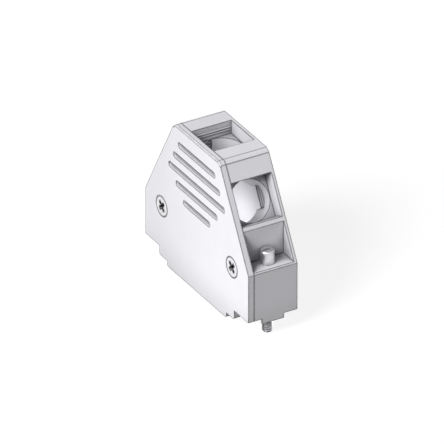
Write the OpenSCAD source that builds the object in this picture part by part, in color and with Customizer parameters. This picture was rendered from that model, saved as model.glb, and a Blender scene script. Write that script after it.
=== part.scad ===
// Hood for a 25-way connector: two half shells with three cable exits,
// held together by two countersunk screws and fastened to the mating
// connector by two captive jackscrews.
// Origin: centre of the connector seat, on the axis of the jackscrews.
// +Z points out of the top cable exit, -Y out of the cover.

/* [Outline] */
// Height from the connector seat to the top face
hood_h = 41; // [40:0.5:46]
// Height of the upright ends
end_h = 14; // [13:0.5:16]
// Slope of the two shoulders from the horizontal
shoulder_a = 60.5; // [59:0.5:62]
// Radius between the top face and a shoulder
top_r = 2; // [1:0.1:2.5]
// Radius round the rim of the cover
rim_r = 0.55; // [0.2:0.05:0.8]
// Radius round the rim of the back wall
back_rim_r = 0.3; // [0.1:0.05:0.5]

/* [Walls] */
// Thickness of the cover
cover_t = 1.75; // [1.6:0.05:2.5]
// Clear depth between the cover and the back wall
cavity_w = 12.2; // [12.1:0.05:14]
// Thickness of the back wall
back_t = 1.05; // [0.9:0.05:2]
// Thickness of the walls between the cover and the back wall
wall_t = 1.4; // [1:0.1:1.5]
// Thickness of the wall beside the channel of a jackscrew
partition_t = 0.8; // [0.6:0.1:1]
// Gap between the cover's inner forms and the back shell
shell_gap = 0.1; // [0.05:0.05:0.2]
// Thickness of the cover's locating tabs
tab_t = 0.8; // [0.6:0.1:1]
// Height of the locating tabs
tab_h = 5; // [3:0.5:6]
// Depth that the locating tabs reach into the back shell
tab_reach = 1; // [0.5:0.1:2]

/* [Cable exits] */
// Width of the square recess of an exit, along the wall
exit_w = 11.9; // [11.7:0.1:12.2]
// Depth of the square recess
exit_step = 4; // [3:0.5:4.5]
// Distance up a shoulder from its lower corner to the centre of its exit
exit_up = 18.87; // [18.5:0.1:19.5]
// Radius of the cable bore
bore_r = 5.8; // [5:0.1:5.85]
// Length of the cable bore
collar_l = 7.2; // [6:0.2:7.6]
// Spacing of the cable grip ribs along the bore
rib_pitch = 0.9; // [0.8:0.1:1.2]
// Depth of the grooves between the ribs of the cover
rib_h = 0.3; // [0.2:0.05:0.3]
// Flat land on the crest of a rib
rib_land = 0.3; // [0.2:0.05:0.4]
// Width of the toothed bed in the back half of the bore
bed_w = 6.4; // [5:0.2:7]
// Round length of the bore between its outer end and the bed
bed_in = 3.2; // [2:0.1:4]
// Depth of the bed below the inner face of the back wall
bed_d = 0.2; // [0:0.05:0.3]
// Spacing of the teeth in the bed
tooth_pitch = 1.2; // [1:0.1:2]
// Height of the two detent ribs in the recess
detent_h = 0.2; // [0.1:0.05:0.2]
// Length of the slope on the outer side of a detent rib
detent_slope = 0.55; // [0.4:0.05:0.6]
// Depth of the first detent rib below the face
detent_down = 1.5; // [1.2:0.1:1.6]

/* [Grip grooves] */
// Width of a grip groove
groove_w = 1.58; // [1.2:0.02:1.8]
// Depth of a grip groove
groove_d = 0.72; // [0.3:0.02:0.9]
// Spacing of the grip grooves
groove_pitch = 4.06; // [3.5:0.1:4.2]
// Height of the middle groove above the seat
groove_z = 27.66; // [26:0.02:29]
// Distance from an end of the middle groove to the edge of the shoulder
groove_margin = 4.75; // [4:0.05:6]
// Shortening of each groove above the middle one
groove_step_up = 5; // [4:0.1:6]
// Shortening of each groove below the middle one
groove_step_down = 7.7; // [6:0.1:8]

/* [Connector] */
// Distance from a jackscrew to the end of the connector flange
flange_end = 3; // [2.9:0.01:3.05]
// Width of the connector flange
flange_w = 12.55; // [12.5:0.01:12.7]
// Thickness of the connector flange
flange_t = 1; // [0.8:0.1:1.2]
// Clearance round the flange, each side
flange_gap = 0.12; // [0.05:0.01:0.15]
// Distance from a jackscrew in to the room for the connector body
body_in = 2.72; // [2.6:0.02:2.8]
// Height of the room for the connector body
body_h = 8; // [6:0.5:8.5]
// Distance from a jackscrew in to the upper step of the skirt
skirt1_in = 3.72; // [3:0.02:4.5]
// Drop of the upper step of the skirt
skirt1_h = 2.7; // [2:0.1:3]
// Distance from a jackscrew in to the lower step of the skirt
skirt2_in = 7.87; // [6.5:0.01:9.5]
// Drop of the lower step of the skirt
skirt2_h = 4.25; // [3.8:0.05:5]
// Rounding of the skirt's lower corners
skirt_r = 0.8; // [0.6:0.1:1.2]
// Thickness of the tongue that covers an end of the flange
tongue_t = 0.56; // [0.5:0.02:0.8]
// Width of the tongue
tongue_w = 6.7; // [5:0.1:8]
// Drop of the tongue
tongue_h = 1.45; // [1.2:0.05:2]

/* [Jackscrews] */
// Distance between the two jackscrews
jack_pitch = 47.04; // [47:0.01:47.2]
// Diameter of the jackscrew thread
jack_thread_d = 2.84; // [2.5:0.01:3]
// Length of the thread below the seat
jack_reach = 6.4; // [5:0.1:8]
// Diameter of the journal under the head
jack_journal_d = 3.2; // [3.18:0.02:3.4]
// Length of the journal that stays below the pocket floor
jack_journal_run = 0.2; // [0.1:0.05:0.5]
// Radial clearance of the journal in its bore
jack_fit = 0.06; // [0.02:0.01:0.1]
// Diameter of the reduced neck above the thread
jack_neck_d = 2.5; // [2.2:0.05:2.5]
// Diameter of the slotted head
jack_head_d = 3.9; // [3.6:0.05:4]
// Height of the slotted head
jack_head_h = 3.8; // [3:0.1:4.5]
// Chamfer round the head
head_chamfer = 0.3; // [0.1:0.05:0.5]
// Chamfer at the tip of the thread
tip_chamfer = 0.4; // [0.2:0.05:0.6]
// Width of the driver slot
slot_w = 0.8; // [0.6:0.05:1]
// Depth of the driver slot
slot_d = 1.1; // [0.8:0.1:1.5]
// Travel of a loosened jackscrew
jack_float = 3.5; // [2:0.1:4]
// Height of the pocket floor above the seat
floor_z = 14.5; // [14.4:0.1:15]
// Thickness of the pocket floor
floor_t = 1.5; // [1:0.1:2]
// Thickness of the lower guide plate
guide_t = 2; // [1.5:0.1:2.5]
// Outer diameter of the retaining ring
ring_d = 4; // [3.6:0.1:4]
// Thickness of the retaining ring
ring_t = 0.4; // [0.3:0.05:0.5]
// Width of the mouth of the ring
ring_mouth = 1.35; // [1.2:0.05:1.45]
// Diameter of the groove that holds the ring
ring_groove_d = 1.5; // [1.4:0.05:1.6]
// Running clearance of the ring and of the channel round the jackscrew
ring_gap = 0.05; // [0.03:0.01:0.08]
// Gap between the head and the wall behind it
head_gap = 0.1; // [0.08:0.01:0.2]
// Clearance round the ring in its chamber
chamber_gap = 0.33; // [0.3:0.01:0.4]

/* [Case screws] */
// Distance from a jackscrew in to a case screw
case_in = 5.07; // [4.5:0.01:5.5]
// Height of a case screw above the seat
case_z = 12.6; // [12:0.1:13]
// Diameter of the countersunk head
case_head_d = 5.9; // [5.5:0.1:6]
// Diameter of the screw shank
case_shank_d = 2.9; // [2.6:0.1:3]
// Length of the screw
case_len = 9.5; // [8:0.5:11]
// Straight rim of the countersunk head
case_land = 0.1; // [0.05:0.05:0.3]
// Chamfer at the tip of the screw
case_tip = 0.6; // [0.3:0.1:0.9]
// Clearance round the screw
case_fit = 0.03; // [0.02:0.01:0.05]
// Room in the boss beyond the tip of the screw
case_room = 1; // [0.5:0.1:1.5]
// Outer diameter of a screw boss
boss_d = 5.2; // [4.8:0.1:5.2]
// Width of an arm of the cross recess
cross_w = 0.9; // [0.7:0.05:1]
// Span of the cross recess
cross_l = 3.2; // [2.8:0.1:3.6]
// Depth of the cross recess
cross_d = 1.2; // [0.9:0.1:1.4]

/* [Hidden] */
$fn = 64;
eps = 0.01;
// How far a cut runs past the surface it opens
over = 1;

jack_x = jack_pitch / 2;
flange_half_l = jack_x + flange_end + flange_gap;
half_l = flange_half_l + tongue_t;
body_half_l = jack_x - body_in;
skirt1_half_l = jack_x - skirt1_in;
skirt2_half_l = jack_x - skirt2_in;
case_x = jack_x - case_in;
part_y = -cavity_w / 2;
front_y = part_y - cover_t;
wall_y = cavity_w / 2;
back_y = wall_y + back_t;
mid_y = (front_y + back_y) / 2;

// Shoulder point at distance t from its lower corner, d below the surface
function shoulder(t, d) = [
    half_l - t * cos(shoulder_a) - d * sin(shoulder_a),
    end_h + t * sin(shoulder_a) - d * cos(shoulder_a)];
shoulder_l = (hood_h - end_h) / sin(shoulder_a);
top_x = shoulder(shoulder_l, 0)[0];

exit_at = shoulder(exit_up, 0);
collar_end = exit_step + collar_l;
channel_w = exit_w + 2 * wall_t;
bed_y = wall_y + bed_d;
bed_l = collar_l - bed_in;
tooth_h = bed_y - bore_r;

// The pocket's back wall stands behind the jackscrew's head
pocket_x = jack_x - jack_head_d / 2 - head_gap;
pocket_top = end_h + (half_l - pocket_x) * tan(shoulder_a);
jack_bore_r = jack_journal_d / 2 + jack_fit;
chamber_r = ring_d / 2 + chamber_gap;
partition_x = jack_x - chamber_r - partition_t;
journal_z = floor_z - floor_t - jack_journal_run;
ring_top = floor_z - floor_t - jack_float - ring_gap;

// Length of the middle grip groove, between the shoulders at its height
groove_l = 2 * (half_l - (groove_z - end_h) / tan(shoulder_a) - groove_margin);

// Outline of the cover and back wall: x, z and corner radius, anticlockwise
face_pts = [
    [half_l, 0, 0], [half_l, end_h, 0], [top_x, hood_h, top_r],
    [-top_x, hood_h, top_r], [-half_l, end_h, 0], [-half_l, 0, 0],
    [-skirt1_half_l, 0, 0], [-skirt1_half_l, -skirt1_h, skirt_r],
    [-skirt2_half_l, -skirt1_h, 0], [-skirt2_half_l, -skirt2_h, skirt_r],
    [skirt2_half_l, -skirt2_h, skirt_r], [skirt2_half_l, -skirt1_h, 0],
    [skirt1_half_l, -skirt1_h, skirt_r], [skirt1_half_l, 0, 0]];

// Geometry of an outline's corners
function at(pts, i) = let (p = pts[(i + len(pts)) % len(pts)]) [p[0], p[1]];
function unit(v) = v / norm(v);
function heading(pts, i) = unit(at(pts, i + 1) - at(pts, i));
function turn(pts, i) = let (a = heading(pts, i - 1), b = heading(pts, i))
    atan2(a[0] * b[1] - a[1] * b[0], a * b);
function trim(pts, i) = pts[i % len(pts)][2] * tan(abs(turn(pts, i)) / 2);
function into(pts, i) = at(pts, i) - trim(pts, i) * heading(pts, i - 1);
function out_of(pts, i) = at(pts, i) + trim(pts, i) * heading(pts, i);
function left_of(v) = [-v[1], v[0]];

// Filled outline with its rounded corners
module outline(pts) {
    polygon([for (i = [0:len(pts) - 1]) each
        pts[i][2] > 0 ? [into(pts, i), out_of(pts, i)] : [at(pts, i)]]);
    for (i = [0:len(pts) - 1]) if (pts[i][2] > 0)
        translate(into(pts, i) + pts[i][2] * left_of(heading(pts, i - 1))) circle(pts[i][2]);
}

// Extrudes a shape drawn in X and Z between two depths
module slab(y0, y1) translate([0, y1, 0]) rotate([90, 0, 0]) linear_extrude(y1 - y0) children();

// Corner left over by a rounded rim; over is how far it runs past the edge
module rim_profile(r, over) {
    difference() {
        translate([-over, -r]) square([r + over, 2 * r]);
        translate([r, r]) circle(r);
    }
}

// Cuts a rounded rim of radius r along an outline whose face lies at Y = 0,
// with the body on the +Y side
module rim_cut(pts, r) {
    for (i = [0:len(pts) - 1]) {
        d = heading(pts, i);
        sharp0 = pts[i][2] == 0 && turn(pts, i) > 0;
        sharp1 = pts[(i + 1) % len(pts)][2] == 0 && turn(pts, i + 1) > 0;
        a = out_of(pts, i) - (sharp0 ? 2 * r : 0) * d;
        b = into(pts, i + 1) + (sharp1 ? 2 * r : 0) * d;
        translate([b[0], 0, b[1]]) rotate([0, atan2(-d[0], -d[1]), 0])
            linear_extrude(norm(b - a)) rim_profile(r, r);
        if (pts[i][2] > 0) rim_round_corner(pts, i, r);
        if (turn(pts, i) < 0) rim_inner_corner(pts, i, r);
    }
}
module rim_round_corner(pts, i, r) {
    d = heading(pts, i - 1);
    c = into(pts, i) + pts[i][2] * left_of(d);
    translate([c[0], 0, c[1]]) rotate([-90, 0, 0])
        rotate([0, 0, 90 - atan2(d[1], d[0]) - turn(pts, i)])
        rotate_extrude(angle = turn(pts, i)) translate([pts[i][2], 0]) mirror([1, 0])
        rim_profile(r, r);
}
module rim_inner_corner(pts, i, r) {
    d = heading(pts, i - 1);
    translate([at(pts, i)[0], 0, at(pts, i)[1]]) rotate([-90, 0, 0])
        rotate([0, 0, -90 - atan2(d[1], d[0])])
        rotate_extrude(angle = -turn(pts, i)) rim_profile(r, 0);
}

// Places children at an exit: -1 left shoulder, 0 top, 1 right shoulder,
// with +Z out of the hood and X along the wall
module at_exit(i) {
    translate(i == 0 ? [0, 0, hood_h] : [i * exit_at[0], 0, exit_at[1]])
        rotate([0, i * shoulder_a, 0]) children();
}
// The same for shapes drawn in X and Z
module at_exit_2d(i) {
    translate(i == 0 ? [0, hood_h] : [i * exit_at[0], exit_at[1]])
        rotate(-i * shoulder_a) children();
}
// Rectangle of an exit between two depths below the wall
module exit_slot(w, z0, z1) translate([-w / 2, -z1]) square([w, z1 - z0]);

// Body outline above the seat, d inside the outer faces
module body_outline(d) {
    top_in = shoulder((hood_h - d - shoulder(0, d)[1]) / sin(shoulder_a), d);
    side_t = (shoulder(0, d)[0] - (half_l - d)) / cos(shoulder_a);
    side_in = shoulder(side_t, d);
    r = max(top_r - d, 0);
    outline([[half_l - d, 0, 0], [half_l - d, side_in[1], 0], [top_in[0], hood_h - d, r],
        [-top_in[0], hood_h - d, r], [-(half_l - d), side_in[1], 0], [-(half_l - d), 0, 0]]);
}

// Walls that run from the cover to the back wall
module wall_section() {
    difference() {
        intersection() {
            body_outline(0);
            union() {
                difference() {
                    body_outline(0);
                    translate([0, -eps]) body_outline(wall_t);
                }
                for (i = [-1:1]) at_exit_2d(i) exit_slot(channel_w, 0, collar_end);
                for (s = [-1, 1]) on_side(s) end_walls();
            }
        }
        for (i = [-1:1]) at_exit_2d(i) exit_slot(exit_w, -over, collar_end);
        for (s = [-1, 1]) on_side(s) pocket_space();
    }
}
// Mirrors a shape drawn in X and Z over to side s
module on_side(s) mirror([s < 0 ? 1 : 0, 0]) children();

// Partition, pocket floor and guide plate at the right end
module end_walls() {
    translate([partition_x, body_h]) square([pocket_x - partition_x, pocket_top - body_h]);
    translate([body_half_l, 0]) square([pocket_x - body_half_l, pocket_top]);
    translate([partition_x, floor_z - floor_t]) square([half_l - partition_x, floor_t]);
    translate([body_half_l, 0]) square([half_l - body_half_l, guide_t]);
}
// Room over the pocket floor, open through the shoulder
module pocket_space() {
    polygon([[pocket_x, floor_z], [half_l + over, floor_z],
        [half_l + over, pocket_top], [pocket_x, pocket_top]]);
}

// Room that the connector flange takes, with its clearance: the seats at
// the ends hold it, and between them it has a gap above it too
module flange_room() {
    w = flange_w + 2 * flange_gap;
    t = flange_t + flange_gap;
    translate([-flange_half_l, -w / 2, -t]) cube([2 * flange_half_l, w, t]);
    translate([-body_half_l, -w / 2, -t]) cube([2 * body_half_l, w, t + flange_gap]);
}

// Back half of the three cable bores, before boring
module back_collars() {
    slab(0, wall_y + eps) intersection() {
        body_outline(0);
        for (i = [-1:1]) at_exit_2d(i) exit_slot(exit_w + wall_t, exit_step, collar_end);
    }
}
module cable_bore() translate([0, 0, -collar_end - over])
    cylinder(r = bore_r, h = collar_l + 2 * over);

// Bed cut into the inner end of a bore's back half, run past it by a length
module tooth_bed(run) translate([-bed_w / 2, 0, -collar_end - run])
    cube([bed_w, bed_y, bed_l + run]);

// How many ribs of a pitch fit a length at the inner end of a bore, and where
// the first one starts
function row_count(l, pitch) = floor((l - rib_land) / pitch);
function row_start(l, pitch) = -collar_end + (l - row_count(l, pitch) * pitch) / 2;

// Teeth on the floor of the bed, with their crests level with the bore
module bed_teeth() {
    for (k = [0:row_count(bed_l, tooth_pitch) - 1])
        translate([-bed_w / 2, bed_y, row_start(bed_l, tooth_pitch) + k * tooth_pitch])
            rotate([0, 90, 0]) linear_extrude(bed_w)
            polygon([[0, eps], [0, 0], [-tooth_pitch / 2, -tooth_h], [-tooth_pitch, 0],
                [-tooth_pitch, eps]]);
}
// Two snap ribs on each side wall of a recess
module detents() {
    for (s = [-1, 1], k = [0, 1])
        translate([s * exit_w / 2, 0, -detent_down - k * (detent_slope + detent_h)])
            mirror([s > 0 ? 1 : 0, 0, 0]) rotate([90, 0, 0])
            linear_extrude(cavity_w, center = true)
            polygon([[-eps, 0], [0, 0], [detent_h, -detent_slope],
                [0, -detent_slope - detent_h], [-eps, -detent_slope - detent_h]]);
}

module back_shell() color("gainsboro") {
    difference() {
        back_shell_body();
        for (s = [-1, 1]) {
            translate([s * case_x, part_y - over, case_z]) rotate([-90, 0, 0])
                cylinder(r = case_shank_d / 2 + case_fit,
                    h = over + case_len - cover_t + case_room);
            translate([s * jack_x, 0, -over]) cylinder(r = jack_bore_r, h = floor_z + 2 * over);
            translate([s * jack_x, 0, body_h])
                cylinder(r = chamber_r, h = floor_z - floor_t - body_h);
        }
        flange_room();
        for (i = [-1:1]) at_exit(i) tooth_bed(0);
    }
    for (i = [-1:1]) at_exit(i) bed_teeth();
}
module back_shell_body() {
    difference() {
        slab(wall_y, back_y) outline(face_pts);
        translate([0, back_y, 0]) mirror([0, 1, 0]) rim_cut(face_pts, back_rim_r);
    }
    slab(part_y, wall_y + eps) wall_section();
    difference() {
        back_collars();
        for (i = [-1:1]) at_exit(i) {
            cable_bore();
            tooth_bed(over);
        }
    }
    for (i = [-1:1]) at_exit(i) detents();
    for (s = [-1, 1]) {
        translate([s * case_x, part_y, case_z]) rotate([-90, 0, 0])
            cylinder(d = boss_d, h = cavity_w + eps);
        translate([s > 0 ? half_l - tongue_t : -half_l, mid_y - tongue_w / 2, -tongue_h])
            cube([tongue_t, tongue_w, tongue_h + wall_t]);
    }
}

// Grooves of five lengths, the longest in the middle
module grip_grooves() {
    for (k = [-2:2]) {
        l = groove_l - abs(k) * (k > 0 ? groove_step_up : groove_step_down);
        translate([0, groove_z + k * groove_pitch]) {
            square([l - groove_w, groove_w], center = true);
            for (s = [-1, 1]) translate([s * (l - groove_w) / 2, 0]) circle(d = groove_w);
        }
    }
}

// Ribbed front half of a cable bore
module saddle(i) at_exit(i) difference() {
    translate([-exit_w / 2 + shell_gap, part_y - eps, -collar_end])
        cube([exit_w - 2 * shell_gap, cavity_w / 2 + eps - shell_gap / 2, collar_l]);
    saddle_bore();
}
module saddle_bore() {
    count = row_count(collar_l, rib_pitch);
    start = row_start(collar_l, rib_pitch);
    cable_bore();
    rotate_extrude() polygon([[bore_r - 1, start],
        for (k = [0:count - 1]) each [
            [bore_r, start + k * rib_pitch + rib_land / 2],
            [bore_r + rib_h, start + (k + 0.5) * rib_pitch],
            [bore_r, start + (k + 1) * rib_pitch - rib_land / 2]],
        [bore_r - 1, start + count * rib_pitch]]);
}

module cover() color("whitesmoke") difference() {
    union() {
        difference() {
            slab(front_y, part_y) outline(face_pts);
            translate([0, front_y, 0]) rim_cut(face_pts, rim_r);
            slab(front_y - over, front_y + groove_d) grip_grooves();
        }
        for (i = [-1:1]) saddle(i);
        for (s = [-1, 1]) locating_tabs(s);
    }
    for (i = [-1:1]) at_exit(i) cable_bore();
    for (s = [-1, 1]) translate([s * case_x, 0, case_z]) case_screw_form(case_fit, over);
    flange_room();
}
// Tabs that locate the cover between the end walls of the back shell
module locating_tabs(s) {
    for (x = [half_l - wall_t - shell_gap - tab_t, pocket_x + shell_gap])
        translate([s > 0 ? x : -x - tab_t, part_y - eps, guide_t + shell_gap])
            cube([tab_t, tab_reach + eps, tab_h]);
}

// Countersunk screw pointing in +Y from the cover's face, grown by a gap and
// running out of the face by a length
module case_screw_form(gap, run) {
    r = case_shank_d / 2 + gap;
    head_r = case_head_d / 2 + gap;
    translate([0, front_y, 0]) rotate([-90, 0, 0]) rotate_extrude() polygon([
        [0, -run], [head_r, -run], [head_r, case_land], [r, case_land + head_r - r],
        [r, case_len - case_tip], [r - case_tip, case_len], [0, case_len]]);
}
module case_screw() difference() {
    case_screw_form(0, 0);
    for (a = [0, 90]) translate([0, front_y, 0]) rotate([0, a + 45, 0])
        translate([-cross_l / 2, -over, -cross_w / 2])
            cube([cross_l, cross_d + over, cross_w]);
}
module case_screw_left() color("silver") translate([-case_x, 0, case_z]) case_screw();
module case_screw_right() color("silver") translate([case_x, 0, case_z]) case_screw();

// Jackscrew with a slotted head, a journal, a neck with a ring groove and a
// thread shown at its outer diameter
module jackscrew() difference() {
    rotate_extrude() polygon([
        [0, -jack_reach], [jack_thread_d / 2 - tip_chamfer, -jack_reach],
        [jack_thread_d / 2, -jack_reach + tip_chamfer], [jack_thread_d / 2, 0],
        [jack_neck_d / 2, (jack_thread_d - jack_neck_d) / 2],
        [jack_neck_d / 2, ring_top - ring_t - ring_gap],
        [ring_groove_d / 2, ring_top - ring_t - ring_gap],
        [ring_groove_d / 2, ring_top + ring_gap], [jack_neck_d / 2, ring_top + ring_gap],
        [jack_neck_d / 2, journal_z], [jack_journal_d / 2, journal_z],
        [jack_journal_d / 2, floor_z], [jack_head_d / 2, floor_z],
        [jack_head_d / 2, floor_z + jack_head_h - head_chamfer],
        [jack_head_d / 2 - head_chamfer, floor_z + jack_head_h], [0, floor_z + jack_head_h]]);
    translate([-slot_w / 2, -jack_head_d, floor_z + jack_head_h - slot_d])
        cube([slot_w, 2 * jack_head_d, slot_d + over]);
}
module jackscrew_left() color("darkgray") translate([-jack_x, 0, 0]) jackscrew();
module jackscrew_right() color("darkgray") translate([jack_x, 0, 0]) jackscrew();

// Open ring snapped sideways into the jackscrew's groove
module retaining_ring() translate([0, 0, ring_top - ring_t]) linear_extrude(ring_t)
    difference() {
        circle(d = ring_d);
        circle(d = ring_groove_d + 2 * ring_gap);
        translate([-ring_mouth / 2, -ring_d]) square([ring_mouth, ring_d]);
    }
module retaining_ring_left() color("dimgray") translate([-jack_x, 0, 0]) retaining_ring();
module retaining_ring_right() color("dimgray") translate([jack_x, 0, 0]) retaining_ring();

back_shell();
cover();
case_screw_left();
case_screw_right();
jackscrew_left();
jackscrew_right();
retaining_ring_left();
retaining_ring_right();
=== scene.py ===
import math

import bmesh
import bpy
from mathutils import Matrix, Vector


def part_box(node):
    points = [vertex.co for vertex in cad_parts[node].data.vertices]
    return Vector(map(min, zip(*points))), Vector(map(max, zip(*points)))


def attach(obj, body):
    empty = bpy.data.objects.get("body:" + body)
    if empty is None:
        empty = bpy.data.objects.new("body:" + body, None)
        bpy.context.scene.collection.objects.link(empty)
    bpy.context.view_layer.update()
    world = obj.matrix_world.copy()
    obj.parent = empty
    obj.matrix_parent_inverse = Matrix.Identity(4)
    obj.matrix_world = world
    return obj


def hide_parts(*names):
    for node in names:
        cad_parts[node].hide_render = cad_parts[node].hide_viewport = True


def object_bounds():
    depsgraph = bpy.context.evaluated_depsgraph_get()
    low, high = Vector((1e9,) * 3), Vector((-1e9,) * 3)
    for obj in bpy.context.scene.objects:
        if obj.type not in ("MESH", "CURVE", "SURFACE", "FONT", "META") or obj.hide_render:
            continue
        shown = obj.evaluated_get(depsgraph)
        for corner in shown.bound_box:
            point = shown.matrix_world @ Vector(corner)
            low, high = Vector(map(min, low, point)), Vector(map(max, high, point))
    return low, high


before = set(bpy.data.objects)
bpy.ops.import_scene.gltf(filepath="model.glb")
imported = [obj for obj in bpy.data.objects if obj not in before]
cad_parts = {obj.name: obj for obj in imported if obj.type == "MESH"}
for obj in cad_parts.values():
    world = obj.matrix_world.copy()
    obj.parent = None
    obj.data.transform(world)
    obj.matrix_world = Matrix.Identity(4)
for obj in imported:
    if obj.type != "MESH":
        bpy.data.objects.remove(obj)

cad_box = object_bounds()

MM = 0.001
TAU = 2 * math.pi


# ---------------------------------------------------------------- node tools

class Graph:
    """A material's node tree with short calls for the nodes used here."""

    def __init__(self, name):
        self.material = bpy.data.materials.new(name)
        self.material.use_nodes = True
        self.tree = self.material.node_tree
        self.tree.nodes.clear()
        self.output = self.add("ShaderNodeOutputMaterial")

    def add(self, kind, **props):
        node = self.tree.nodes.new(kind)
        for key, value in props.items():
            setattr(node, key, value)
        return node

    def put(self, socket, value):
        if isinstance(value, bpy.types.NodeSocket):
            self.tree.links.new(value, socket)
        else:
            socket.default_value = value

    def math(self, operation, *values, clamp=False):
        node = self.add("ShaderNodeMath", operation=operation, use_clamp=clamp)
        for socket, value in zip(node.inputs, values):
            self.put(socket, value)
        return node.outputs[0]

    def ramp(self, value, low, high, to_low=0.0, to_high=1.0):
        node = self.add("ShaderNodeMapRange", clamp=True)
        for socket, item in zip(node.inputs, (value, low, high, to_low, to_high)):
            self.put(socket, item)
        return node.outputs[0]

    def mix(self, factor, a, b, blend="MIX"):
        node = self.add("ShaderNodeMix", data_type="RGBA", blend_type=blend)
        self.put(node.inputs[0], factor)
        self.put(node.inputs[6], a)
        self.put(node.inputs[7], b)
        return node.outputs[2]

    def vector(self, operation, a, b=None, scale=None):
        node = self.add("ShaderNodeVectorMath", operation=operation)
        self.put(node.inputs[0], a)
        if b is not None:
            self.put(node.inputs[1], b)
        if scale is not None:
            self.put(node.inputs[3], scale)
        return node

    def split(self, vector):
        node = self.add("ShaderNodeSeparateXYZ")
        self.put(node.inputs[0], vector)
        return node.outputs

    def between(self, value, low, high):
        """1 where a value lies between two limits."""
        return self.math("COMPARE", value, (low + high) / 2, (high - low) / 2)

    def noise(self, coords, scale, detail=2.0, roughness=0.5):
        node = self.add("ShaderNodeTexNoise")
        self.put(node.inputs["Vector"], coords)
        self.put(node.inputs["Scale"], scale)
        self.put(node.inputs["Detail"], detail)
        self.put(node.inputs["Roughness"], roughness)
        return node.outputs["Fac"]

    def coords(self):
        return self.add("ShaderNodeTexCoord").outputs["Object"]

    def bevel(self, radius, samples=6):
        node = self.add("ShaderNodeBevel", samples=samples)
        self.put(node.inputs["Radius"], radius)
        return node.outputs[0]

    def edge(self, radius, low=0.07, high=0.16):
        """1 on a sharp edge, falling to 0 at the radius."""
        rounded = self.bevel(radius)
        normal = self.add("ShaderNodeNewGeometry").outputs["True Normal"]
        along = self.vector("DOT_PRODUCT", rounded, normal).outputs["Value"]
        gap = self.math("MAXIMUM", self.math("SUBTRACT", 1.0, along), 0.0)
        turn = self.math("SQRT", self.math("MULTIPLY", gap, 2.0))
        return self.ramp(turn, low, high)

    def crevice(self, distance, low, high, samples=8):
        """1 deep in a corner, 0 on an open face."""
        node = self.add("ShaderNodeAmbientOcclusion", samples=samples, only_local=False)
        self.put(node.inputs["Distance"], distance)
        return self.ramp(node.outputs["AO"], high, low)

    def bump(self, height, strength, distance, normal=None):
        node = self.add("ShaderNodeBump")
        self.put(node.inputs["Strength"], strength)
        self.put(node.inputs["Distance"], distance)
        self.put(node.inputs["Height"], height)
        if normal is not None:
            self.put(node.inputs["Normal"], normal)
        return node.outputs[0]

    def principled(self, **sockets):
        node = self.add("ShaderNodeBsdfPrincipled")
        for name, value in sockets.items():
            self.put(node.inputs[name.replace("_", " ")], value)
        self.tree.links.new(node.outputs[0], self.output.inputs[0])
        return self.material


# ----------------------------------------------------------------- materials

# Places and lengths on the hood in metres; SLOPE is the shoulder's outward direction.
SHELL_MID_Y = (cad_box[0][1] + cad_box[1][1]) / 2
SLOPE = (0.8704, 0.0, 0.4924)
RIM_FROM = 6.9 * MM
TOP_CORNER = (9.5 * MM, 39.0 * MM)
GROOVE_Z = 27.66 * MM
GROOVE_PITCH = 4.06 * MM
GROOVE_SIDE = 26.4 * MM
GROOVE_HEIGHTS = (18.0 * MM, 36.7 * MM)
GROOVE_DEPTHS = (-7.82 * MM, -7.0 * MM)
GROOVE_FOOT = (-0.7 * MM, -0.5 * MM)
GROOVE_TOP = (-0.5 * MM, -0.3 * MM)
EDGE_WIDTH = 0.42 * MM
SOFT_EDGE = 0.03 * MM
PAINTED_LINE_COLOUR = (0.06, 0.06, 0.068, 1.0)
BLACK = (0.03, 0.03, 0.033, 1.0)


# reach, fully dark and fully clear openness, strength and colour of the painted shade in
# hollows
PAINTED_HOLLOW_SHADE = (
    (20.0 * MM, 0.4, 0.82, 0.36, (0.06, 0.06, 0.066, 1.0)),
    (8.0 * MM, 0.25, 0.66, 0.7, (0.2, 0.2, 0.215, 1.0)),
    (0.8 * MM, 0.3, 0.9, 0.55, (0.3, 0.3, 0.32, 1.0)),
)


def rim_lines(g, at):
    """Lines where the rolled rims and the top corners run out into flat faces."""
    normal = g.add("ShaderNodeNewGeometry").outputs["Normal"]
    n = g.split(normal)
    depth = g.math("ABSOLUTE", g.math("SUBTRACT", at[1], SHELL_MID_Y))
    on_rim = g.math("GREATER_THAN", depth, RIM_FROM)
    facing = g.math("ABSOLUTE", n[1])
    rim = g.math("MAXIMUM", g.between(facing, 0.93, 0.9998), g.between(facing, 0.02, 0.3))
    rim = g.math("MULTIPLY", rim, on_rim)
    aside = g.math("GREATER_THAN", g.math("ABSOLUTE", at[0]), TOP_CORNER[0])
    corner = g.math("MULTIPLY", aside, g.math("GREATER_THAN", at[2], TOP_CORNER[1]))
    uphill = g.math("ADD", g.math("MULTIPLY", g.math("ABSOLUTE", n[0]), SLOPE[0]),
                    g.math("MULTIPLY", n[2], SLOPE[2]))
    turn = g.math("MAXIMUM", g.between(n[2], 0.985, 0.9995), g.between(uphill, 0.985, 0.9995))
    return g.math("MAXIMUM", rim, g.math("MULTIPLY", turn, corner))


def in_grooves(g, at):
    """1 on the floors and walls of the cover's grip grooves."""
    out = g.math("ADD", g.math("MULTIPLY", g.math("ABSOLUTE", at[0]), SLOPE[0]),
                 g.math("MULTIPLY", at[2], SLOPE[2]))
    across = g.math("LESS_THAN", out, GROOVE_SIDE)
    up = g.between(at[2], *GROOVE_HEIGHTS)
    deep = g.between(at[1], *GROOVE_DEPTHS)
    return g.math("MULTIPLY", g.math("MULTIPLY", across, up), deep)


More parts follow.
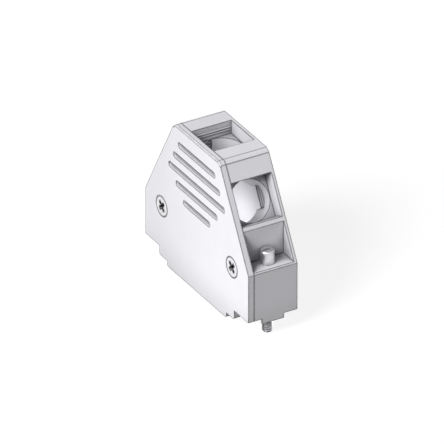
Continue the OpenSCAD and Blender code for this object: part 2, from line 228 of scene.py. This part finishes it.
def groove_shade(g, at, grooves):
    """Painted shadow on the grooves' floors, deepest under their upper edges."""
    row = g.math("DIVIDE", g.math("SUBTRACT", at[2], GROOVE_Z), GROOVE_PITCH)
    off = g.math("MULTIPLY", g.math("SUBTRACT", row, g.math("ROUND", row)), GROOVE_PITCH)
    n = g.split(g.add("ShaderNodeNewGeometry").outputs["Normal"])
    floor = g.math("MULTIPLY", g.math("GREATER_THAN", g.math("ABSOLUTE", n[1]), 0.9), grooves)
    foot = g.ramp(off, *GROOVE_FOOT, 0.75, 0.45)
    top = g.ramp(off, *GROOVE_TOP, 0.0, 0.97)
    return g.math("MULTIPLY", floor, g.math("MAXIMUM", foot, top))


def moulded_plastic(name, colour):
    """Pale matte plastic with a fine grain, dark lines painted along its edges and creases,
    painted shade in its hollows and a painted shadow in its grip grooves.
    """
    g = Graph(name)
    at = g.coords()
    cloud = g.noise(at, 70.0, 3.0)
    speck = g.noise(at, 2600.0, 2.0)
    grain = g.noise(at, 5200.0, 3.0, 0.6)
    light = [c * 1.012 for c in colour] + [1.0]
    dark = [c * 0.975 for c in colour] + [1.0]
    base = g.mix(g.ramp(cloud, 0.35, 0.65), tuple(dark), tuple(light))
    base = g.mix(g.ramp(speck, 0.35, 0.75, 0.0, 0.35), base, tuple(dark))
    place = g.split(at)
    grooves = in_grooves(g, place)
    clear = g.math("SUBTRACT", 1.0, grooves)
    # Painted shade in the hollows, at three reaches; none inside the grip grooves.
    for distance, low, high, strength, shadow in PAINTED_HOLLOW_SHADE:
        hollow = g.math("MULTIPLY", g.crevice(distance, low, high, 12), clear)
        base = g.mix(g.math("MULTIPLY", hollow, strength), base, shadow)
    # Painted shadow on the floors of the grip grooves.
    base = g.mix(groove_shade(g, place, grooves), base, BLACK)
    # Dark lines painted along edges, creases and the rims' run-out lines; in the creases they
    # stand for shade.
    thin = g.ramp(grooves, 0.0, 1.0, 1.0, 0.5)
    edge = g.math("MULTIPLY", g.edge(EDGE_WIDTH), thin)
    edge = g.math("MAXIMUM", edge, g.math("MULTIPLY", rim_lines(g, place), 0.7))
    base = g.mix(g.math("MULTIPLY", edge, 0.92), base, PAINTED_LINE_COLOUR)
    rough = g.ramp(grain, 0.3, 0.7, 0.46, 0.6)
    normal = g.bump(grain, 0.18, 0.012 * MM, g.bevel(SOFT_EDGE))
    return g.principled(Base_Color=base, Roughness=rough, IOR=1.5, Normal=normal)


def turned_steel(name, colour, rough, axis, centre, ring_pitch, line=0.3 * MM, hollow=0.5 * MM):
    """Plated steel with fine turning marks round an axis through a centre, dark lines painted
    on its edges and painted shade in its corners.
    """
    g = Graph(name)
    at = g.coords()
    offset = g.vector("SUBTRACT", at, tuple(centre)).outputs[0]
    split = g.split(offset)
    parts = [split[i] for i in range(3) if i != axis]
    radius = g.math("SQRT", g.math("ADD", g.math("MULTIPLY", parts[0], parts[0]),
                                   g.math("MULTIPLY", parts[1], parts[1])))
    along = g.math("ADD", radius, g.math("MULTIPLY", split[axis], 0.83))
    rings = g.math("SINE", g.math("MULTIPLY", along, TAU / ring_pitch))
    patch = g.noise(at, 900.0, 4.0, 0.6)
    fine = g.noise(at, 9000.0, 2.0)
    light = tuple(min(1.0, c * 1.12) for c in colour) + (1.0,)
    dark = tuple(c * 0.8 for c in colour) + (1.0,)
    base = g.mix(g.ramp(patch, 0.3, 0.7), dark, light)
    # Dark lines painted on the edges, then painted shade in the corners within the hollow
    # reach.
    edge = g.edge(line)
    base = g.mix(g.math("MULTIPLY", edge, 0.9), base, BLACK)
    corner = g.crevice(hollow, 0.3, 0.85)
    base = g.mix(g.math("MULTIPLY", corner, 0.92), base, BLACK)
    rough_map = g.ramp(patch, 0.3, 0.7, rough - 0.07, rough + 0.09)
    marks = g.bump(g.math("ADD", rings, fine), 0.25, 0.004 * MM, g.bevel(0.06 * MM))
    return g.principled(Base_Color=base, Metallic=1.0, Roughness=rough_map, Normal=marks)


def dress(node, material):
    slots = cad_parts[node].data.materials
    if not slots:
        slots.append(material)
    for i in range(len(slots)):
        slots[i] = material


PLASTIC = (0.872, 0.868, 0.905)
shell_plastic = moulded_plastic("hood_plastic_back", PLASTIC)
cover_plastic = moulded_plastic("hood_plastic_cover", PLASTIC)
dress("back_shell", shell_plastic)
dress("cover", cover_plastic)


def centre_of(node):
    low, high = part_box(node)
    return (Vector(low) + Vector(high)) / 2


for side in ("left", "right"):
    screw = "case_screw_" + side
    dress(screw, turned_steel(screw + "_steel", (0.8, 0.8, 0.82), 0.36, 1,
                              centre_of(screw), 0.16 * MM, 0.5 * MM, 1.1 * MM))
    ring = "retaining_ring_" + side
    dress(ring, turned_steel(ring + "_steel", (0.3, 0.3, 0.32), 0.42, 2,
                             centre_of(ring), 0.22 * MM))


# --------------------------------------------------------- threaded jackscrew

# Lengths of the jackscrew in millimetres.
THREAD_R = 1.42
THREAD_PITCH = 0.635
THREAD_DEPTH = 0.36
THREAD_TIP = -6.4
TIP_CHAMFER = 0.4
NECK_R = 1.25
GROOVE_R = 0.75
JOURNAL_R = 1.6
HEAD_R = 1.95
FLOOR_Z = 14.5
FLOOR_T = 1.5
FLOAT = 3.5
THREAD_TOP = 0.16
THREAD_STEP = 0.05
SLOT_HALF_W, SLOT_DEPTH, SLOT_HALF_L = 0.4, 1.1, 3.0
SLOT_CORNER = 0.1
SEGMENTS = 72
SMOOTH_BELOW = 32


def jackscrew_profile(top):
    """Radius and height from the thread's end up to the rim of the head."""
    groove_top = FLOOR_Z - FLOOR_T - FLOAT
    return [
        (NECK_R, 0.17), (NECK_R, groove_top - 0.5), (GROOVE_R, groove_top - 0.5),
        (GROOVE_R, groove_top), (NECK_R, groove_top), (NECK_R, FLOOR_Z - 1.75),
        (JOURNAL_R - 0.06, FLOOR_Z - 1.7), (JOURNAL_R, FLOOR_Z - 1.64),
        (JOURNAL_R, FLOOR_Z - 0.02), (HEAD_R - 0.06, FLOOR_Z), (HEAD_R, FLOOR_Z + 0.06),
        (HEAD_R, top - 0.3), (HEAD_R - 0.3, top)]


def thread_radius(z, angle):
    """Radius of a vee thread at a height and an angle, with a chamfered tip."""
    phase = (z / THREAD_PITCH - angle / TAU) % 1.0
    vee = abs(2 * phase - 1)
    tooth = min(1.0, max(0.0, (vee - 0.1) / 0.76))
    r = THREAD_R - THREAD_DEPTH * (1 - tooth)
    chamfer = THREAD_R - TIP_CHAMFER + (z - THREAD_TIP)
    runout = NECK_R + (0.17 - z) if z > 0.0 else THREAD_R
    return min(r, chamfer, max(runout, NECK_R))


def jackscrew_mesh(name, x, top):
    bm = bmesh.new()
    steps = int(round((THREAD_TOP - THREAD_TIP) / THREAD_STEP))
    rows = []
    for k in range(steps + 1):
        z = THREAD_TIP + (THREAD_TOP - THREAD_TIP) * k / steps
        rows.append([(thread_radius(z, TAU * i / SEGMENTS), z) for i in range(SEGMENTS)])
    for r, z in jackscrew_profile(top):
        rows.append([(r, z)] * SEGMENTS)
    rings = []
    for row in rows:
        rings.append([bm.verts.new(((x + r * math.cos(TAU * i / SEGMENTS)) * MM,
                                    r * math.sin(TAU * i / SEGMENTS) * MM, z * MM))
                      for i, (r, z) in enumerate(row)])
    for low, high in zip(rings, rings[1:]):
        for i in range(SEGMENTS):
            j = (i + 1) % SEGMENTS
            bm.faces.new((low[i], low[j], high[j], high[i]))
    bm.faces.new(list(reversed(rings[0])))
    bm.faces.new(rings[-1])
    mesh = bpy.data.meshes.new(name)
    bm.to_mesh(mesh)
    bm.free()
    return mesh


def slot_cutter(x, top):
    """A slot with chamfered bottom edges, cut across the head."""
    w, d, l, c = SLOT_HALF_W, SLOT_DEPTH, SLOT_HALF_L, SLOT_CORNER
    profile = [(-w, top + 0.5), (-w, top - d + c), (-w + c, top - d),
               (w - c, top - d), (w, top - d + c), (w, top + 0.5)]
    bm = bmesh.new()
    ends = [[bm.verts.new(((x + px) * MM, y * MM, z * MM)) for px, z in profile]
            for y in (-l, l)]
    n = len(profile)
    for i in range(n):
        j = (i + 1) % n
        bm.faces.new((ends[0][i], ends[0][j], ends[1][j], ends[1][i]))
    bm.faces.new(list(reversed(ends[0])))
    bm.faces.new(ends[1])
    bmesh.ops.recalc_face_normals(bm, faces=bm.faces)
    mesh = bpy.data.meshes.new("slot_cutter")
    bm.to_mesh(mesh)
    bm.free()
    return bpy.data.objects.new("slot_cutter", mesh)


def applied(obj):
    """Replaces an object's mesh with its evaluated one and drops the modifiers."""
    depsgraph = bpy.context.evaluated_depsgraph_get()
    mesh = bpy.data.meshes.new_from_object(obj.evaluated_get(depsgraph))
    obj.modifiers.clear()
    obj.data = mesh


def smooth_by_angle(mesh, degrees):
    mesh.polygons.foreach_set("use_smooth", [True] * len(mesh.polygons))
    bm = bmesh.new()
    bm.from_mesh(mesh)
    limit = math.radians(degrees)
    for edge in bm.edges:
        edge.smooth = len(edge.link_faces) == 2 and edge.calc_face_angle(0.0) < limit
    bm.to_mesh(mesh)
    bm.free()


def make_jackscrew(side):
    node = "jackscrew_" + side
    low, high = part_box(node)
    x = (low[0] + high[0]) / 2 / MM
    top = high[2] / MM
    screw = bpy.data.objects.new("turned_jackscrew_" + side, jackscrew_mesh(node, x, top))
    bpy.context.scene.collection.objects.link(screw)
    cutter = slot_cutter(x, top)
    bpy.context.scene.collection.objects.link(cutter)
    cut = screw.modifiers.new("slot", "BOOLEAN")
    cut.operation = "DIFFERENCE"
    cut.solver = "EXACT"
    cut.object = cutter
    applied(screw)
    bpy.data.objects.remove(cutter)
    smooth_by_angle(screw.data, SMOOTH_BELOW)
    steel = turned_steel(node + "_steel", (0.68, 0.68, 0.7), 0.42, 2,
                         (x * MM, 0.0, 0.0), 0.19 * MM, 0.12 * MM, 0.3 * MM)
    screw.data.materials.clear()
    screw.data.materials.append(steel)
    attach(screw, node)
    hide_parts(node)


for side in ("left", "right"):
    make_jackscrew(side)


# --------------------------------------------------------------------- stage

def stage_floor():
    """A pale floor at the tips of the jackscrews; its own light is for the view only."""
    size = 4.0
    z = cad_box[0][2] - 0.0002
    mesh = bpy.data.meshes.new("floor")
    mesh.from_pydata([(-size, -size, z), (size, -size, z), (size, size, z), (-size, size, z)],
                     [], [(0, 1, 2, 3)])
    floor = bpy.data.objects.new("floor", mesh)
    bpy.context.scene.collection.objects.link(floor)
    g = Graph("floor_white")
    shown = g.add("ShaderNodeBsdfDiffuse")
    g.put(shown.inputs[0], (0.3, 0.3, 0.3, 1.0))
    glow = g.add("ShaderNodeEmission")
    g.put(glow.inputs[0], (1.0, 1.0, 1.0, 1.0))
    g.put(glow.inputs[1], 0.82)
    both = g.add("ShaderNodeAddShader")
    g.put(both.inputs[0], shown.outputs[0])
    g.put(both.inputs[1], glow.outputs[0])
    bounce = g.add("ShaderNodeBsdfDiffuse")
    g.put(bounce.inputs[0], (0.2, 0.2, 0.2, 1.0))
    path = g.add("ShaderNodeLightPath")
    seen = g.math("MAXIMUM", path.outputs["Is Camera Ray"],
                  g.math("MAXIMUM", path.outputs["Is Glossy Ray"],
                         path.outputs["Is Transmission Ray"]))
    pick = g.add("ShaderNodeMixShader")
    g.put(pick.inputs[0], seen)
    g.put(pick.inputs[1], bounce.outputs[0])
    g.put(pick.inputs[2], both.outputs[0])
    g.put(g.output.inputs[0], pick.outputs[0])
    mesh.materials.append(g.material)


def stage_world():
    world = bpy.data.worlds.new("studio")
    bpy.context.scene.world = world
    world.use_nodes = True
    tree = world.node_tree
    tree.nodes.clear()
    out = tree.nodes.new("ShaderNodeOutputWorld")
    white = tree.nodes.new("ShaderNodeBackground")
    white.inputs[1].default_value = 1.0
    white.inputs[0].default_value = (1.0, 1.0, 1.0, 1.0)
    fill = tree.nodes.new("ShaderNodeBackground")
    fill.inputs[0].default_value = (0.98, 0.98, 1.0, 1.0)
    fill.inputs[1].default_value = 0.14
    path = tree.nodes.new("ShaderNodeLightPath")
    a = tree.nodes.new("ShaderNodeMath")
    a.operation = "MAXIMUM"
    b = tree.nodes.new("ShaderNodeMath")
    b.operation = "MAXIMUM"
    mix = tree.nodes.new("ShaderNodeMixShader")
    link = tree.links.new
    link(path.outputs["Is Glossy Ray"], a.inputs[0])
    link(path.outputs["Is Transmission Ray"], a.inputs[1])
    link(path.outputs["Is Camera Ray"], b.inputs[0])
    link(a.outputs[0], b.inputs[1])
    link(b.outputs[0], mix.inputs[0])
    link(fill.outputs[0], mix.inputs[1])
    link(white.outputs[0], mix.inputs[2])
    link(mix.outputs[0], out.inputs[0])


def aim(obj, target):
    obj.rotation_euler = (Vector(target) - obj.location).to_track_quat("-Z", "Y").to_euler()


def stage_lights():
    sun = bpy.data.lights.new("softbox", "SUN")
    sun.energy = 2.95
    sun.angle = math.radians(28)
    box = bpy.data.objects.new("softbox", sun)
    box.location = (0.25, -0.673, 0.53)
    aim(box, (0, 0, 0))
    bpy.context.scene.collection.objects.link(box)

    spot = bpy.data.lights.new("front_fill", "SPOT")
    spot.energy = 3.6
    spot.spot_size = math.radians(9.6)
    spot.spot_blend = 1.0
    spot.shadow_soft_size = 0.02
    front = bpy.data.objects.new("front_fill", spot)
    front.location = (0.03, -0.6, 0.2)
    aim(front, (0.022, 0, 0.018))
    bpy.context.scene.collection.objects.link(front)

    rear = bpy.data.lights.new("rear_fill", "SUN")
    rear.energy = 2.6
    rear.angle = math.radians(20)
    back = bpy.data.objects.new("rear_fill", rear)
    back.location = (-0.3, 0.62, 0.0)
    aim(back, (0, 0, 0))
    bpy.context.scene.collection.objects.link(back)

    inner = bpy.data.lights.new("cavity_fill", "AREA")
    inner.shape = "RECTANGLE"
    inner.size = 0.014
    inner.size_y = 0.01
    inner.energy = 0.0027
    lamp = bpy.data.objects.new("cavity_fill", inner)
    lamp.location = (0.0, -0.0055, 0.016)
    aim(lamp, (0.0, 0.006, 0.016))
    lamp.visible_camera = False
    lamp.visible_glossy = False
    bpy.context.scene.collection.objects.link(lamp)


def stage_camera():
    """A very long lens, since the photo is a parallel view."""
    azimuth = math.radians(60.0)
    elevation = math.radians(30.15)
    lens, sensor = 1400.0, 36.0
    width = 116.87 * MM
    target = Vector((0.0, -0.00014, 0.01481))
    away = width * lens / sensor
    camera = bpy.data.cameras.new("camera")
    camera.lens = lens
    camera.sensor_width = sensor
    camera.clip_end = 200.0
    obj = bpy.data.objects.new("camera", camera)
    back = Vector((math.sin(azimuth) * math.cos(elevation),
                   -math.cos(azimuth) * math.cos(elevation), math.sin(elevation)))
    obj.location = target + away * back
    aim(obj, target)
    bpy.context.scene.collection.objects.link(obj)
    bpy.context.scene.camera = obj


stage_floor()
stage_world()
stage_lights()
stage_camera()
bpy.context.scene.view_settings.view_transform = "Standard"
